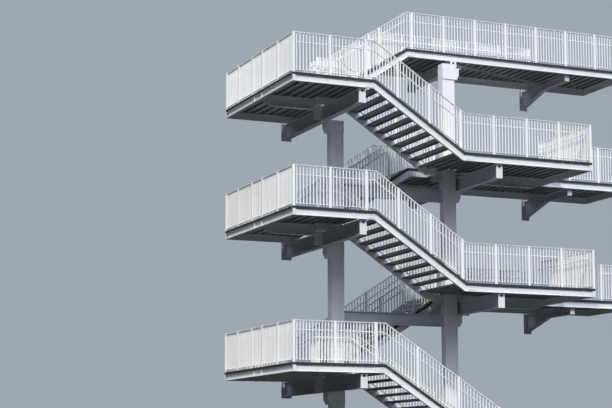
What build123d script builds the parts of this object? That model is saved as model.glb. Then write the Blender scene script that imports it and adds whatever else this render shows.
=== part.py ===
"""Outdoor steel stair tower: a switchback stair on two columns, tied back to a wall.

X runs along the wall to the right, Y runs towards the wall, Z is up. The origin is on
the ground at the centre of the left column's base plate. All sizes are millimetres.
"""
from build123d import *
from math import atan2, ceil, tan
import os

os.makedirs("parts", exist_ok=True)

# Flights from the ground up: number of risers and height of one riser. Odd flights run
# on the wall side and rise to the right, even flights run in front and rise to the left.
going = 270
risers = [13, 13, 13, 10, 10, 10, 10]
riser_height = [173.7, 173.7, 173.7, 179.2, 179.2, 176, 176]

# Plan of the tower, measured from its left end and from its front edge.
flight_width = 2340
well_width = 370
column_from_left_end = 2350
column_spacing = 3550
right_end_from_left = 9178
walkway_end_from_left = 12240
bracket_from_left = 10200
wall_gap = 350

# Distance from the left end to the left bend of each flight's stringers.
left_bend_from_left = [2300, 2650, 2300, 2406, 2010, 2406, 2010]
centre_strip_left = 1750
centre_strip_right = 5300
low_centre_strip_right = 6380

# Edge channel of landings and stringers, with a kerb that holds the deck.
channel_depth = 180
channel_width = 75
channel_web = 8
channel_flange = 11
kerb_height = 50
splice_leg = 150
ledge_width = 45
ledge_thickness = 8

# Deck planks and treads are folded pans.
plank_pitch = 700
plank_joint = 6
pan_sheet = 4.5
nosing = 25
shortest_plank = 100
foot_length = 420
foot_thickness = 16

# Columns, their corbels and the ties between them.
column_depth = 390
column_width = 260
base_length = 620
base_width = 370
base_thickness = 36
anchor_pitch_x = 500
anchor_pitch_y = 240
anchor_hole = 33
corbel_reach = 215
corbel_box_reach = 140
corbel_width = 300
corbel_depth = 340
corbel_chamfer = 70
corbel_plate = 16
column_head = 120
tie_width = 175
tie_web = 8
tie_flange = 12

# Cross beams stand beside the columns on the corbels and reach back to the wall.
beam_width = 200
beam_web = 9
beam_flange = 14
beam_depth = 400
top_beam_depth = 300
beam_clearance = 8
beam_end_inset = 90
top_beam_overhang = 60
end_plate_width = 160
wall_plate_margin = 60
wall_plate_thickness = 20

# Spine beams carry the middle of the planks.
spine_depth = 300
spine_width = 150
spine_web = 7
spine_flange = 10
spine_taper = 340
spine_haunch = 240

# Brackets under the walkways.
bracket_tip_depth = 200
bracket_root_depth = 540
bracket_flat = 1300
bracket_width = 150
bracket_web = 9
bracket_flange = 12
brace_leg = 75
brace_thickness = 8
brace_drop = 50
brace_from_front = [2750, 4000]

# Railings: posts on the channel flange, flat rails between them and an inner handrail.
rail_height = 1100
post_size = 65
bay_length = 1050
end_bar = 40
rail_thickness = 50
top_rail = 30
bottom_rail = 90
kerb_clearance = 1
handrail_height = 850
handrail_size = 38
handrail_offset = 85
handrail_bracket = 16
corner_trim = 80
panel_clearance = 0.3
post_before_left_bend = 286
post_before_right_bend = 136
first_post_from_foot = 210
end_posts_from_front = [1100, 2200, 2960, 4040]

# Places worked out from the sizes above.
stair_depth = 2 * flight_width + well_width
left_end = -column_from_left_end
front = -stair_depth / 2
back = front + stair_depth
wall_face = back + wall_gap
right_end = left_end + right_end_from_left
walkway_end = left_end + walkway_end_from_left
bracket_x = left_end + bracket_from_left
well_front = front + flight_width
well_back = back - flight_width
column_x = [0, column_spacing]
edge_depth = channel_depth + kerb_height
flight_rise = [n * h for n, h in zip(risers, riser_height)]
flight_run = [n * going for n in risers]
level = [sum(flight_rise[:n]) for n in range(len(risers) + 1)]
left_bend = [left_end + x for x in left_bend_from_left]
right_bend = [x + run for x, run in zip(left_bend, flight_run)]
beam_offset = column_depth / 2 + beam_width / 2 + beam_clearance
beam_x = [-beam_offset, column_spacing + beam_offset]
top_landing = len(risers)
line_inset = channel_width - channel_web - kerb_clearance - rail_thickness / 2
post_inset = channel_width - channel_web - kerb_clearance - post_size / 2


def is_wall_side(flight):
    """Odd flights run on the wall side."""
    return flight % 2 == 1


def is_left(landing):
    """Even landings are the half landings on the left."""
    return landing % 2 == 0


def has_walkway(landing):
    """Every landing on the right but the lowest leads on to a walkway."""
    return not is_left(landing) and landing > 1


def depth_of_beam(landing):
    """The cross beam under the top walkway is shallower."""
    return top_beam_depth if landing == top_landing else beam_depth


def corbel_top(landing):
    """Height of the seat of a landing's cross beam."""
    return level[landing] - edge_depth - depth_of_beam(landing)


def i_section(plane, depth, width, web, flange):
    """Sketch of an I section, centred on the plane's origin, depth along its Y."""
    with BuildSketch(plane) as section:
        Rectangle(width, depth)
        with Locations((width / 2, 0), (-width / 2, 0)):
            Rectangle(width - web, depth - 2 * flange, mode=Mode.SUBTRACT)
    return section.sketch


def save(part, name):
    """Label a finished piece and write it."""
    part.label = name
    export_step(part, f"parts/{name}.step")


# Columns: a closed box section with a corbel under each cross beam it carries, a seat
# plate on a box that wraps round the column.
for side, name in enumerate(("column_left", "column_right")):
    seats = [corbel_top(n) for n in range(1, top_landing + 1) if is_left(n) == (side == 0)]
    outward = -1 if side == 0 else 1
    column_top = max(seats) + (column_head if side == 1 else 0)
    with BuildPart() as column:
        with BuildSketch(Plane.XY.offset(base_thickness)):
            with Locations((column_x[side], 0)):
                Rectangle(column_depth, column_width)
        extrude(amount=column_top - base_thickness)
        with BuildSketch(Plane.XY):
            with Locations((column_x[side], 0)):
                Rectangle(base_length, base_width)
                with GridLocations(anchor_pitch_x, anchor_pitch_y, 2, 2):
                    Circle(anchor_hole / 2, mode=Mode.SUBTRACT)
        extrude(amount=base_thickness)
        for seat in seats:
            root = column_x[side] - outward * column_depth / 2
            tip = column_x[side] + outward * (column_depth / 2 + corbel_reach)
            box_end = column_x[side] + outward * (column_depth / 2 + corbel_box_reach)
            with BuildSketch(Plane.XZ.offset(-corbel_width / 2)):
                with BuildLine():
                    Polyline(
                        (root, seat), (tip, seat),
                        (tip, seat - corbel_plate), (box_end, seat - corbel_plate),
                        (box_end, seat - corbel_depth + 2 * corbel_chamfer),
                        (box_end - outward * corbel_chamfer, seat - corbel_depth),
                        (root, seat - corbel_depth),
                        close=True,
                    )
                make_face()
            extrude(amount=corbel_width)
    save(column.part, name)

# Ties between the columns, under the landings on the right.
with BuildPart() as ties:
    for landing in range(1, top_landing, 2):
        middle = corbel_top(landing) - corbel_depth / 2
        start = Plane(origin=(column_depth / 2, 0, middle), x_dir=(0, 1, 0), z_dir=(1, 0, 0))
        extrude(
            i_section(start, corbel_depth, tie_width, tie_web, tie_flange),
            amount=column_spacing - column_depth,
        )

# Cross beams: each passes beside its column, rests on the corbel and ends at the wall.
with BuildPart() as cross_beams:
    for landing in range(1, top_landing + 1):
        side = 0 if is_left(landing) else 1
        depth = depth_of_beam(landing)
        near = well_back - top_beam_overhang if landing == top_landing else front + beam_end_inset
        middle = corbel_top(landing) + depth / 2
        start = Plane(origin=(beam_x[side], near, middle), x_dir=(-1, 0, 0), z_dir=(0, 1, 0))
        extrude(
            i_section(start, depth, beam_width, beam_web, beam_flange),
            amount=wall_face - near - wall_plate_thickness,
        )
        with BuildSketch(start):
            Rectangle(end_plate_width, depth - 2 * beam_flange)
        extrude(amount=beam_flange)
        with BuildSketch(start.offset(wall_face - near - wall_plate_thickness)):
            Rectangle(beam_width + 2 * wall_plate_margin, depth + 2 * wall_plate_margin)
        extrude(amount=wall_plate_thickness)

# Wall brackets: tapered cantilevers under the walkways, with a deep root at the wall.
with BuildPart() as brackets:
    for landing in filter(has_walkway, range(1, top_landing + 1)):
        top = level[landing] - edge_depth
        tip = well_back + beam_end_inset
        root = wall_face - wall_plate_thickness
        outline = [
            (tip, top),
            (root, top),
            (root, top - bracket_root_depth),
            (tip + bracket_flat, top - bracket_tip_depth),
            (tip, top - bracket_tip_depth),
        ]
        with BuildSketch(Plane.YZ.offset(bracket_x - bracket_web / 2)):
            with BuildLine():
                Polyline(*outline, close=True)
            make_face()
        extrude(amount=bracket_web)
        with BuildSketch(Plane.YZ.offset(bracket_x - bracket_width / 2)):
            with BuildLine():
                Polyline(*outline, close=True)
            make_face()
            with BuildLine():
                Polyline(
                    (tip + bracket_flange, top - bracket_flange),
                    (root, top - bracket_flange),
                    (root, top - bracket_root_depth + bracket_flange),
                    (tip + bracket_flat, top - bracket_tip_depth + bracket_flange),
                    (tip + bracket_flange, top - bracket_tip_depth + bracket_flange),
                    close=True,
                )
            make_face(mode=Mode.SUBTRACT)
        extrude(amount=bracket_width)
        with BuildSketch(Plane.XZ.offset(-root)):
            with Locations((bracket_x, top - bracket_root_depth / 2)):
                Rectangle(
                    bracket_width + 2 * wall_plate_margin,
                    bracket_root_depth + 2 * wall_plate_margin,
                )
        extrude(amount=-wall_plate_thickness)


def frame_limits(landing, extension=0):
    """X of the frame's edge at the outer strip, the centre strip and the inner strip."""
    if is_left(landing):
        outer = left_bend[landing - 1] - splice_leg + extension
        inner = left_bend[landing] - splice_leg + extension
        return outer, left_end + centre_strip_left, inner
    inner = right_bend[landing - 1] + splice_leg - extension
    if landing == top_landing:
        return None, None, inner
    centre = left_end + (low_centre_strip_right if landing == 1 else centre_strip_right)
    if extension:
        inner = min(inner, centre - extension)
    return right_bend[landing] + splice_leg - extension, centre, inner


def frame_outline(landing, extension=0):
    """Corner points of a landing in plan, in order round its edge."""
    outer, centre, inner = frame_limits(landing, extension)
    if is_left(landing):
        return [
            (left_end, front), (outer, front), (outer, well_front), (centre, well_front),
            (centre, well_back), (inner, well_back), (inner, back), (left_end, back),
        ]
    if landing == top_landing:
        return [(inner, well_back), (walkway_end, well_back), (walkway_end, back), (inner, back)]
    if has_walkway(landing):
        far_side = [
            (right_end, front), (right_end, well_back),
            (walkway_end, well_back), (walkway_end, back),
        ]
    else:
        far_side = [(right_end, front), (right_end, back)]
    return [
        (outer, front), *far_side, (inner, back), (inner, well_back),
        (centre, well_back), (centre, well_front), (outer, well_front),
    ]


def spine_outline(landing, side):
    """Side view of a spine beam, from its tapered free end to its haunch at the beam."""
    outward = -1 if side == 0 else 1
    top = level[landing] - kerb_height - ledge_thickness
    root = beam_x[side] + outward * beam_width / 2
    free = (left_end + channel_width) if side == 0 else (right_end - channel_width)
    haunch = root + outward * spine_haunch
    taper = free - outward * spine_taper
    bottom = top - spine_depth
    return [
        (root, top), (free, top), (free, level[landing] - edge_depth), (taper, bottom),
        (haunch, bottom), (haunch, corbel_top(landing)), (root, corbel_top(landing)),
    ]


# Landing frames: edge channels with their flanges outwards, a ledge for the planks and,
# under the full landings, a spine beam that cantilevers from the cross beam.
for landing in range(1, top_landing + 1):
    floor = level[landing]
    channel_bottom = floor - edge_depth
    rings = [
        (channel_bottom, channel_flange, 0, channel_width),
        (floor - kerb_height - channel_flange, channel_flange, 0, channel_width),
        (channel_bottom, edge_depth, channel_width - channel_web, channel_web),
        (floor - kerb_height - ledge_thickness, ledge_thickness, channel_width, ledge_width),
    ]
    with BuildPart() as frame:
        for bottom, height, inset, width in rings:
            with BuildSketch(Plane.XY.offset(bottom)):
                with BuildLine():
                    Polyline(*frame_outline(landing, extension=2 * splice_leg), close=True)
                make_face()
                if inset:
                    offset(amount=-inset, kind=Kind.INTERSECTION, mode=Mode.REPLACE)
                offset(amount=-width, kind=Kind.INTERSECTION, mode=Mode.SUBTRACT)
            extrude(amount=height)
        with BuildSketch(Plane.XY.offset(channel_bottom)):
            with BuildLine():
                Polyline(*frame_outline(landing), close=True)
            make_face()
        extrude(amount=edge_depth, mode=Mode.INTERSECT)
        if landing != top_landing:
            side = 0 if is_left(landing) else 1
            outline = spine_outline(landing, side)
            with BuildSketch(Plane.XZ.offset(-spine_web / 2)):
                with BuildLine():
                    Polyline(*outline, close=True)
                make_face()
            extrude(amount=spine_web)
            root, free, taper, haunch = (outline[i][0] for i in (0, 1, 3, 4))
            top = outline[0][1]
            for near, far, height in (
                (root, free, top),
                (haunch, taper, top - spine_depth + spine_flange),
            ):
                with BuildSketch(Plane.XY.offset(height)):
                    with Locations(((near + far) / 2, 0)):
                        Rectangle(abs(far - near), spine_width)
                extrude(amount=-spine_flange)
        if has_walkway(landing) and landing != top_landing:
            stub_end = frame_limits(landing)[1] + channel_width - channel_web
            start = Plane(
                origin=(stub_end, 0, top - spine_depth / 2), x_dir=(0, 1, 0), z_dir=(1, 0, 0)
            )
            extrude(
                i_section(start, spine_depth, spine_width, spine_web, spine_flange),
                amount=column_x[1] - column_depth / 2 - stub_end,
            )
    save(frame.part, f"landing_frame_{landing}")


def deck_limits(landing):
    """X of the deck's edge at the outer strip, the centre strip and the inner strip."""
    outer, centre, inner = frame_limits(landing)
    if is_left(landing):
        return outer + splice_leg, centre - channel_width, inner + splice_leg + going
    if landing == top_landing:
        return None, None, inner - splice_leg
    return outer - splice_leg - going, centre + channel_width, inner - splice_leg


def deck_rows(landing, x):
    """Front and back of each row of planks at one X."""
    outer, centre, inner = deck_limits(landing)
    rows = {
        "outer": (front + channel_width, well_front - channel_width),
        "inner": (well_back + channel_width, back - channel_width),
    }
    if landing == top_landing or x > right_end - channel_width:
        return [rows["inner"]]
    side = 1 if is_left(landing) else -1
    present = [name for name, edge in (("outer", outer), ("inner", inner)) if side * x < side * edge]
    if side * x > side * centre:
        return [rows[name] for name in present]
    spliced = side * x > side * (inner - side * splice_leg)
    if spliced:
        return [(rows["outer"][0], well_back)] + [rows[name] for name in present[1:]]
    return [(rows["outer"][0], rows["inner"][1])]


def pan(left, right, top, near, far, folds):
    """Folded sheet pans side by side, edges turned down, lying along Y."""
    hollow = (right - left - pan_sheet) / folds - pan_sheet
    with BuildSketch(Plane.XZ.offset(-far)) as section:
        with Locations((left, top)):
            Rectangle(right - left, kerb_height, align=(Align.MIN, Align.MAX))
        for n in range(folds):
            with Locations((left + pan_sheet + n * (hollow + pan_sheet), top - pan_sheet)):
                Rectangle(hollow, kerb_height, align=(Align.MIN, Align.MAX), mode=Mode.SUBTRACT)
    return extrude(section.sketch, amount=far - near, mode=Mode.PRIVATE)


# Landing decks: rows of folded planks that span from the edge channels to the spine
# beam, with a square left open where a column passes through.
hole_x = column_depth / 2 + beam_clearance
hole_y = column_width / 2 + beam_clearance
for landing in range(1, top_landing + 1):
    outer, centre, inner = deck_limits(landing)
    ends = [(walkway_end if has_walkway(landing) else right_end) - channel_width]
    if is_left(landing):
        ends = [left_end + channel_width]
    stops = {outer, centre, inner, *ends} - {None}
    if not is_left(landing):
        stops.add(right_end - channel_width)
        if landing < top_landing:
            stops.add(inner + splice_leg)
    column_edges = [x + side * hole_x for x in column_x for side in (-1, 1)]
    if landing < top_landing:
        stops |= {x for x in column_edges if min(stops) < x < max(stops)}
    stops = sorted(stops)
    planks = []
    for start, end in zip(stops, stops[1:]):
        folds = max(1, round((end - start) / plank_pitch))
        middle = (start + end) / 2
        in_column = any(abs(middle - x) < hole_x for x in column_x)
        for near, far in deck_rows(landing, middle):
            pieces = [(near, far)]
            if in_column and near < -hole_y and far > hole_y:
                pieces = [(near, -hole_y), (hole_y, far)]
            planks += [
                pan(start, end - plank_joint, level[landing], *piece, folds)
                for piece in pieces
                if piece[1] - piece[0] > shortest_plank and end - start > shortest_plank
            ]
    with BuildPart() as deck:
        add(planks)
    save(deck.part, f"landing_deck_{landing}")


def flight_edges(flight):
    """Y of the front edge and the back edge of a flight."""
    return (well_back, back) if is_wall_side(flight) else (front, well_front)


def flight_path(flight):
    """Corner points of the stringer's top edge in X and Z, left to right."""
    low, high = level[flight - 1], level[flight]
    left_z, right_z = (low, high) if is_wall_side(flight) else (high, low)
    left, right = left_bend[flight - 1], right_bend[flight - 1]
    return [
        (left - splice_leg, left_z), (left, left_z), (right, right_z),
        (right + splice_leg, right_z),
    ]


def band(flight, upper, lower):
    """Closed outline of a strip that runs along the stringer between two depths."""
    path = flight_path(flight)
    slope = atan2(path[2][1] - path[1][1], path[2][0] - path[1][0])
    shift = [0, -tan(slope / 2), -tan(slope / 2), 0]
    top = [(x - upper * s, z - upper) for (x, z), s in zip(path, shift)]
    bottom = [(x - lower * s, z - lower) for (x, z), s in zip(path, shift)]
    return top + bottom[::-1]


# Stringers: edge channels that bend at the landings and are spliced to their frames.
for flight in range(1, len(risers) + 1):
    near, far = flight_edges(flight)
    with BuildPart() as stringers:
        for flange_tip, inward in ((near, 1), (far, -1)):
            for upper, lower, inset, width in (
                (0, edge_depth, channel_width - channel_web, channel_web),
                (kerb_height, kerb_height + channel_flange, 0, channel_width),
                (edge_depth - channel_flange, edge_depth, 0, channel_width),
            ):
                with BuildSketch(Plane.XZ.offset(-(flange_tip + inward * inset))):
                    with BuildLine():
                        Polyline(*band(flight, upper, lower), close=True)
                    make_face()
                extrude(amount=-inward * width)
        if flight == 1:
            split(bisect_by=Plane.XY.offset(foot_thickness), keep=Keep.TOP)
            with BuildSketch(Plane.XY):
                for flange_tip, inward in ((near, 1), (far, -1)):
                    with Locations((left_bend[0], flange_tip + inward * channel_width / 2)):
                        Rectangle(foot_length, channel_width, align=(Align.MIN, Align.CENTER))
            extrude(amount=foot_thickness)
    save(stringers.part, f"stringers_{flight}")

    # Treads: a sheet for each step, folded down at its front edge, between the webs.
    with BuildPart() as treads:
        for step in range(1, risers[flight - 1]):
            height = level[flight] - step * riser_height[flight - 1]
            ahead = 1 if is_wall_side(flight) else -1
            upper_bend = right_bend[flight - 1] if ahead == 1 else left_bend[flight - 1]
            nose = upper_bend - ahead * step * going
            rear = nose + ahead * (going + nosing)
            lip = nose + ahead * pan_sheet
            with BuildSketch(Plane.XZ.offset(-(near + channel_width))):
                with BuildLine():
                    Polyline(
                        (nose, height), (rear, height), (rear, height - pan_sheet),
                        (lip, height - pan_sheet), (lip, height - kerb_height),
                        (nose, height - kerb_height),
                        close=True,
                    )
                make_face()
            extrude(amount=-(flight_width - 2 * channel_width))
    save(treads.part, f"treads_{flight}")


def height_at(profile, u):
    """Height of a profile line at one place."""
    for (u0, z0), (u1, z1) in zip(profile, profile[1:]):
        if u <= u1:
            break
    return z0 + (z1 - z0) * (u - u0) / (u1 - u0)


def trace(profile, start, end, lift=0):
    """Points along a profile line from one place to another, with its corners."""
    low, high = min(start, end), max(start, end)
    corners = [u for u, z in profile if low < u < high]
    if end < start:
        corners.reverse()
    return [(u, height_at(profile, u) + lift) for u in (start, *corners, end)]


def level_line(height):
    """A level profile line of any length."""
    return [(-2 * walkway_end_from_left, height), (2 * walkway_end_from_left, height)]


def flight_lines(flight):
    """Profile lines of a flight for its floor and for the seat of its posts."""
    lines = []
    for depth in (0, kerb_height):
        line = band(flight, depth, edge_depth)[:4]
        line[0] = (-2 * walkway_end_from_left, line[0][1])
        line[3] = (2 * walkway_end_from_left, line[3][1])
        lines.append(line)
    return lines


def landing_lines(landing):
    """Profile lines of a landing for its floor and for the seat of its posts."""
    return [level_line(level[landing]), level_line(level[landing] - kerb_height)]


def spread(first, last):
    """Post places at equal spacing, close to the wanted bay length."""
    count = max(1, round(abs(last - first) / bay_length))
    return [first + (last - first) * n / count for n in range(count + 1)]


def flat_face(plane, outline, openings=()):
    """A face in an upright plane, with openings."""
    wires = [
        Wire.make_polygon([plane.from_local_coords(Vector(u, z, 0)) for u, z in points])
        for points in (outline, *openings)
    ]
    return Face(wires[0], wires[1:])


def strip(profile, start, end, low, high):
    """Closed outline of a strip along a profile line between two lifts."""
    return trace(profile, start, end, low) + trace(profile, end, start, high)


def railing(plane, inward, lines, start, end, posts, trims=(0, 0)):
    """One straight railing: posts, a top and a bottom rail between them, and a handrail.

    The plane stands on the post line and inward is the walking side along its normal.
    """
    floor, seat = lines
    half = post_size / 2
    uprights = [(p - half, p + half) for p in posts]
    if uprights[0][0] > start + end_bar:
        uprights.insert(0, (start, start + end_bar))
    if uprights[-1][1] < end - end_bar:
        uprights.append((end - end_bar, end))
    openings = [
        strip(floor, left[1], right[0], bottom_rail - kerb_height, rail_height - top_rail)
        for left, right in zip(uprights, uprights[1:])
    ]
    outline = trace(floor, start, end, rail_height) + trace(seat, end, start)
    rail = strip(
        floor,
        start + trims[0],
        end - trims[1],
        handrail_height - handrail_size / 2,
        handrail_height + handrail_size / 2,
    )
    reach = handrail_offset - (handrail_size + rail_thickness) / 2
    side_face = plane.offset(inward * rail_thickness / 2)
    held = [p for p in posts if start + trims[0] < p < end - trims[1]]
    with BuildPart() as run:
        extrude(flat_face(plane, outline, openings), amount=rail_thickness / 2, both=True)
        extrude(flat_face(side_face.offset(inward * reach), rail), amount=inward * handrail_size)
        for p in {held[0], held[-1]}:
            bracket = strip(
                floor,
                p - handrail_bracket / 2,
                p + handrail_bracket / 2,
                handrail_height - handrail_bracket / 2,
                handrail_height + handrail_bracket / 2,
            )
            extrude(flat_face(side_face, bracket), amount=inward * reach)
    return run.part


def along_x(y):
    """Upright plane that runs along X at one Y."""
    return Plane.XZ.offset(-y)


def along_y(x):
    """Upright plane that runs along Y at one X."""
    return Plane.YZ.offset(x)


front_line = front + line_inset
back_line = back - line_inset
well_lines = [well_front - line_inset, well_back + line_inset]
past_post = post_size / 2 + panel_clearance
past_line = rail_thickness / 2 + panel_clearance

# Railings on the flights: the outer side, and the well side out to the centre strips.
for flight in range(1, len(risers) + 1):
    lines = flight_lines(flight)
    outer_y = back_line if is_wall_side(flight) else front_line
    well_y = well_lines[1] if is_wall_side(flight) else well_lines[0]
    outward = 1 if is_wall_side(flight) else -1
    top_side = frame_limits(flight if is_wall_side(flight) else flight - 1)
    first_bend, last_bend = left_bend[flight - 1], right_bend[flight - 1]
    if flight == 1:
        foot = first_bend + first_post_from_foot
        outer_posts = spread(foot, last_bend - post_before_right_bend)
        outer_start = foot - post_size / 2
        well_start = foot
    else:
        before = first_bend - post_before_left_bend
        outer_posts = spread(before, last_bend - post_before_right_bend)[1:]
        outer_start = before + past_post
        well_start = left_end + centre_strip_left - post_inset
    if flight == top_landing:
        well_end = top_side[2] + kerb_clearance - panel_clearance
        well_posts = spread(well_start, well_end + past_post)[:-1]
    else:
        last_post = max(top_side[1] + post_inset, last_bend + splice_leg - post_inset)
        well_posts = spread(well_start, last_post)
        well_end = last_post + post_size / 2
    sides = [
        railing(
            along_x(outer_y), outward, lines, outer_start,
            outer_posts[-1] + post_size / 2, outer_posts,
        ),
        railing(
            along_x(well_y), -outward, lines, well_start - post_size / 2, well_end, well_posts,
        ),
    ]
    with BuildPart() as flight_railing:
        add(sides)
    save(flight_railing.part, f"flight_railing_{flight}")

# Railings on the landings and walkways.
for landing in range(1, top_landing + 1):
    lines = landing_lines(landing)
    outer, centre, inner = frame_limits(landing)
    runs = []
    if is_left(landing):
        end_post = left_end + post_inset
        end_line = left_end + line_inset
        centre_line = centre - line_inset
        for y, inward, bend in (
            (front_line, -1, left_bend[landing - 1]), (back_line, 1, left_bend[landing]),
        ):
            posts = spread(end_post, bend - post_before_left_bend)
            runs.append(railing(
                along_x(y), inward, lines, end_post - post_size / 2,
                posts[-1] + post_size / 2, posts, trims=(corner_trim, 0),
            ))
        runs.append(railing(
            along_y(end_line), 1, lines, front_line + past_line, back_line - past_line,
            [front + y for y in end_posts_from_front], trims=(corner_trim, corner_trim),
        ))
        centre_side = -1
    elif landing < top_landing:
        end_post = right_end - post_inset
        end_line = right_end - line_inset
        centre_line = centre + line_inset
        start = right_bend[landing] - post_before_right_bend
        posts = spread(start, end_post)[1:]
        runs.append(railing(
            along_x(front_line), -1, flight_lines(landing + 1), start + past_post,
            end_post + post_size / 2, posts, trims=(0, corner_trim),
        ))
        far = well_lines[1] if has_walkway(landing) else back_line
        posts = spread(front_line, far)[1:-1]
        runs.append(railing(
            along_y(end_line), -1, lines, front_line + past_line, far - past_line, posts,
            trims=(corner_trim, corner_trim),
        ))
        centre_side = 1
    if landing < top_landing:
        gap = [well_lines[0] + past_line, well_lines[1] - past_line]
        middle = (gap[0] + gap[1]) / 2
        runs.append(railing(
            along_y(centre_line), centre_side, lines, *gap, [middle], trims=(corner_trim, corner_trim),
        ))
    if not is_left(landing):
        start = right_bend[landing - 1] - post_before_right_bend
        last = bracket_x if has_walkway(landing) else right_end - post_inset
        posts = spread(start, last)[1:]
        runs.append(railing(
            along_x(back_line), 1, flight_lines(landing), start + past_post,
            last + post_size / 2, posts,
            trims=(0, 0 if has_walkway(landing) else corner_trim),
        ))
    if has_walkway(landing):
        first = right_end - post_inset
        if landing == top_landing:
            first = inner + kerb_clearance + post_size / 2
        posts = spread(first, walkway_end - post_inset)
        runs.append(railing(
            along_x(well_lines[1]), -1, lines, first - post_size / 2,
            posts[-1] + post_size / 2, posts,
            trims=(0 if landing == top_landing else corner_trim, 0),
        ))
    with BuildPart() as landing_railing:
        add(runs)
    save(landing_railing.part, f"landing_railing_{landing}")

# Diagonal brace under the top walkway, between the cross beam and the bracket.
brace_top = level[top_landing] - edge_depth - brace_drop
with BuildPart() as brace:
    left = beam_x[1] + beam_web / 2
    right = bracket_x - bracket_web / 2
    for width, height in ((brace_leg, brace_thickness), (brace_thickness, brace_leg)):
        with BuildSketch(Plane.XY.offset(brace_top)):
            with BuildLine():
                Polyline(
                    (left, front + brace_from_front[0]),
                    (right, front + brace_from_front[1]),
                    (right, front + brace_from_front[1] + width),
                    (left, front + brace_from_front[0] + width),
                    close=True,
                )
            make_face()
        extrude(amount=-height)

# All the beams that the tower hangs on, as one frame of separate members.
with BuildPart() as beams:
    add([ties.part, cross_beams.part, brackets.part, brace.part])
save(beams.part, "support_beams")
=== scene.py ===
"""Looks of an outdoor steel escape stair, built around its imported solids."""

from math import atan2, cos, pi, radians, sin, tan

import bmesh
import bpy
from mathutils import Matrix, Vector


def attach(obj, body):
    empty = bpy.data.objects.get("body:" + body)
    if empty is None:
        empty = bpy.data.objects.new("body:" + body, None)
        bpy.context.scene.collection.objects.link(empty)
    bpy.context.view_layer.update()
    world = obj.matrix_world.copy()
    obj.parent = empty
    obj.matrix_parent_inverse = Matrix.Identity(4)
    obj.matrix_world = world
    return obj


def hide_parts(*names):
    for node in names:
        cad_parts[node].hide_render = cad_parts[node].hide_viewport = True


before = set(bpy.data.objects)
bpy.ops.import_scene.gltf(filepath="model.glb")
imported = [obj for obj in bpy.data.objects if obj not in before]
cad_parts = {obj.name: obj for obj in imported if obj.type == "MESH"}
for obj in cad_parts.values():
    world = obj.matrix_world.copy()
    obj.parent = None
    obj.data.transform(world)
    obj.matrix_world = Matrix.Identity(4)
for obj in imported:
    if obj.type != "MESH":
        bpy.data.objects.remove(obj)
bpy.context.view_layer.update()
scene = bpy.context.scene
scene.view_settings.view_transform = "Standard"


def add(name, data):
    """A new object in the scene."""
    made = bpy.data.objects.new(name, data)
    scene.collection.objects.link(made)
    return made


# The viewpoint: the tower is looked up at from the ground, off to its front left, through
# a long lens that is tilted up a little. Its length and shifts are in dots of the picture.
camera_place = (-18.2031, -40.4829, 1.8766)
heading, pitch, roll = 0.409005, 0.127995, -0.00263
picture_width, lens_length, shift_right, shift_up = 612, 1608.835, -8.19, 55
camera = bpy.data.cameras.new("view")
camera.sensor_width = 36
camera.lens = lens_length / picture_width * camera.sensor_width
camera.shift_x, camera.shift_y = shift_right / picture_width, shift_up / picture_width
camera.clip_end = 1200
viewer = add("view", camera)
turn = Matrix.Rotation(-heading, 3, "Z") @ Matrix.Rotation(pi / 2 + pitch, 3, "X")
turn = turn @ Matrix.Rotation(roll, 3, "Z")
viewer.matrix_world = Matrix.Translation(camera_place) @ turn.to_4x4()
scene.camera = viewer

# A warm sun from the front left, and a wide cool lamp from in front for the shaded faces.
sun = bpy.data.lights.new("sun", "SUN")
sun.energy, sun.angle, sun.color = 2.9, radians(2), (1.0, 0.90, 0.78)
soft = bpy.data.lights.new("soft front", "SUN")
soft.energy, soft.angle, soft.color = 0.7, radians(50), (0.66, 0.79, 1.0)
for lamp, direction in ((sun, (-0.396, -0.565, 0.724)), (soft, (0.25, -1.0, 1.0))):
    turned = Vector(direction).to_track_quat("Z", "Y").to_euler()
    add(lamp.name, lamp).rotation_euler = turned


class Nodes:
    """A node tree, with one method that adds any node and returns its outputs by name."""

    def __init__(self, tree):
        self.tree = tree

    def node(self, kind, settings=None, inputs=None):
        made = self.tree.nodes.new(kind)
        for name, value in (settings or {}).items():
            setattr(made, name, value)
        for key, value in (inputs or {}).items():
            if isinstance(key, int):
                socket = made.inputs[key]
            else:
                socket = next(s for s in made.inputs if s.name == key and s.enabled)
            if isinstance(value, Value):
                self.tree.links.new(value.socket, socket)
            else:
                socket.default_value = value
        return {s.name: Value(self, s) for s in reversed(made.outputs) if s.enabled}


class Value:
    """An output socket. Arithmetic on it adds Math nodes."""

    def __init__(self, nodes, socket):
        self.nodes, self.socket = nodes, socket

    def math(self, operation, first, second):
        made = self.nodes.node("ShaderNodeMath", {"operation": operation}, {0: first, 1: second})
        return made["Value"]

    def __add__(self, other):
        return self.math("ADD", self, other)

    def __sub__(self, other):
        return self.math("SUBTRACT", self, other)

    def __mul__(self, other):
        return self.math("MULTIPLY", self, other)

    def __rsub__(self, other):
        return self.math("SUBTRACT", other, self)

    __radd__, __rmul__ = __add__, __mul__


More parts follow.
